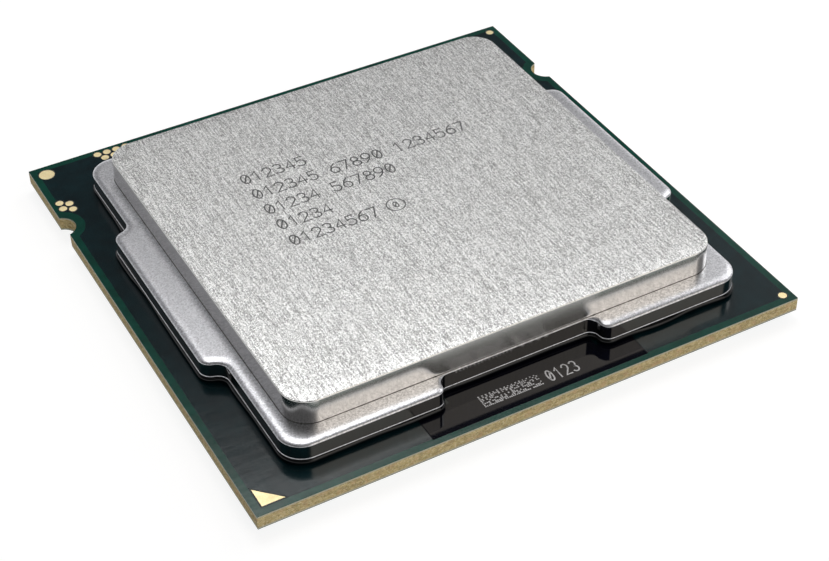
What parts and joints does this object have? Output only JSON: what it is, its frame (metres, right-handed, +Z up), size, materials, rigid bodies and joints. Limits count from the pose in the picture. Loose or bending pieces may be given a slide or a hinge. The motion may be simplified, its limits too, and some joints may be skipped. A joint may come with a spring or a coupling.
{
  "type": "processor package",
  "caption": "Square land-grid processor package: laminate substrate, soldered die, nickel-plated copper heat spreader with side ears, gold lands and underside capacitors.",
  "frame": {"origin": "middle of the package in plan, on the plane that the underside capacitors rest on", "axes": "+Z up through the heat spreader; +Y towards the side with the key notches; the pin-one triangle is at -X, -Y"},
  "size_m": [0.0376, 0.0376, 0.0048],
  "materials": {
    "laminate": "cut glass-epoxy edge, matte and speckled",
    "buildup_resin": "dark resin, matte",
    "copper": "plated copper",
    "solder_mask": "glossy green mask, dark over copper",
    "gold_plating": "satin gold",
    "marking_ink": "glossy black ink",
    "nickel_plate": "brushed nickel over copper",
    "sealant": "black silicone, semi-gloss",
    "silicon": "polished silicon",
    "solder": "reflowed solder",
    "underfill_resin": "cured epoxy",
    "ceramic": "fired ceramic, satin",
    "tin_plating": "matte tin"
  },
  "bodies": {
    "root": {"substrate_core": "laminate", "buildup_top": "buildup_resin", "buildup_bottom": "buildup_resin", "copper_plane_top": "copper", "copper_plane_bottom": "copper", "solder_mask_top": "solder_mask", "solder_mask_bottom": "solder_mask", "pin_one_marker": "gold_plating", "fiducials": "gold_plating", "test_pads_left": "gold_plating", "test_pads_back": "gold_plating", "ink_patch": "marking_ink", "heat_spreader": "nickel_plate", "lid_sealant": "sealant", "silicon_die": "silicon", "solder_bumps": "solder", "underfill": "underfill_resin", "thermal_solder": "solder", "lands_front": "gold_plating", "lands_back": "gold_plating", "lands_left": "gold_plating", "lands_right": "gold_plating", "large_capacitor_bodies": "ceramic", "large_capacitor_ends": "tin_plating", "large_capacitor_solder": "solder", "large_capacitor_pads": "gold_plating", "small_capacitor_bodies": "ceramic", "small_capacitor_ends": "tin_plating", "small_capacitor_solder": "solder", "small_capacitor_pads": "gold_plating"}
  },
  "joints": []
}
